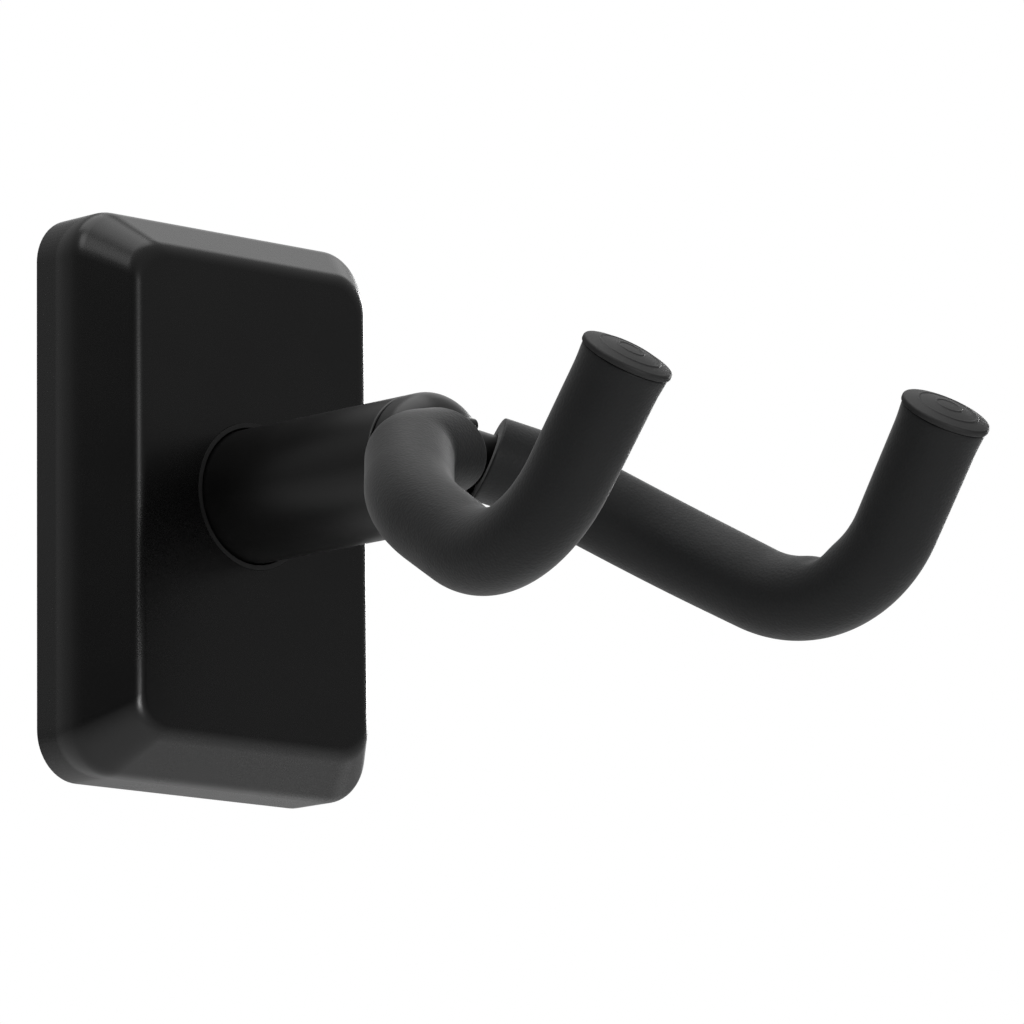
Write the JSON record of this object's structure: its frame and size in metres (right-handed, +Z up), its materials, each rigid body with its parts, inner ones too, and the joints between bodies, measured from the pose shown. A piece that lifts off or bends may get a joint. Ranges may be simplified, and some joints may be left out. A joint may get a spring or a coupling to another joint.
{
  "type": "wall guitar hanger",
  "caption": "Wall guitar hanger: a chamfered black cover, a round post, and a swivelling yoke whose two foam-covered arms hold a guitar by its headstock.",
  "frame": {"origin": "centre of the wall plate's screw pattern, on the wall; the post's axis is 1.1 mm above it", "axes": "+Y into the wall, so the hanger stands out along -Y; +X to the right seen from the front; +Z up"},
  "size_m": [0.0978, 0.168, 0.107],
  "materials": {
    "black_powder": "fine satin powder coat",
    "black_moulded": "satin to gloss moulded plastic",
    "black_rubber": "matte moulded rubber",
    "black_foam": "closed-cell foam with a soft matte skin",
    "zinc_steel": "bright zinc plated",
    "spring_steel": "plain oiled spring steel",
    "bronze": "turned bearing bronze",
    "white_nylon": "natural nylon",
    "blue_nylon": "coloured nylon"
  },
  "bodies": {
    "bracket": {"wall_plate": "zinc_steel", "post_tube": "black_powder", "post_weld": "black_powder", "cover_clips": "spring_steel", "clip_rivets": "zinc_steel", "post_plug": "zinc_steel", "pivot_bush": "bronze"},
    "cover": {"plate_cover": "black_moulded", "cover_grommet": "black_rubber"},
    "yoke": {"swivel_head": "black_powder", "swivel_stud": "zinc_steel", "stop_pin": "spring_steel", "thrust_washer": "white_nylon", "spring_washer": "spring_steel", "flat_washer": "zinc_steel", "lock_nut": "zinc_steel", "lock_nut_insert": "blue_nylon", "yoke_rod": "black_powder", "yoke_weld": "black_powder", "foam_sleeve_left": "black_foam", "foam_sleeve_right": "black_foam", "end_cap_left": "black_rubber", "end_cap_right": "black_rubber"}
  },
  "joints": [
    {"name": "yoke_swivel", "type": "hinge", "parent": "bracket", "child": "yoke", "pos_m": [0, -0.066, 0.0011], "axis": [0, -1, 0], "range_deg": [-30, 30]},
    {"name": "cover_slide", "type": "slide", "parent": "bracket", "child": "cover", "axis": [0, -1, 0], "range_m": [0, 0.038]}
  ]
}
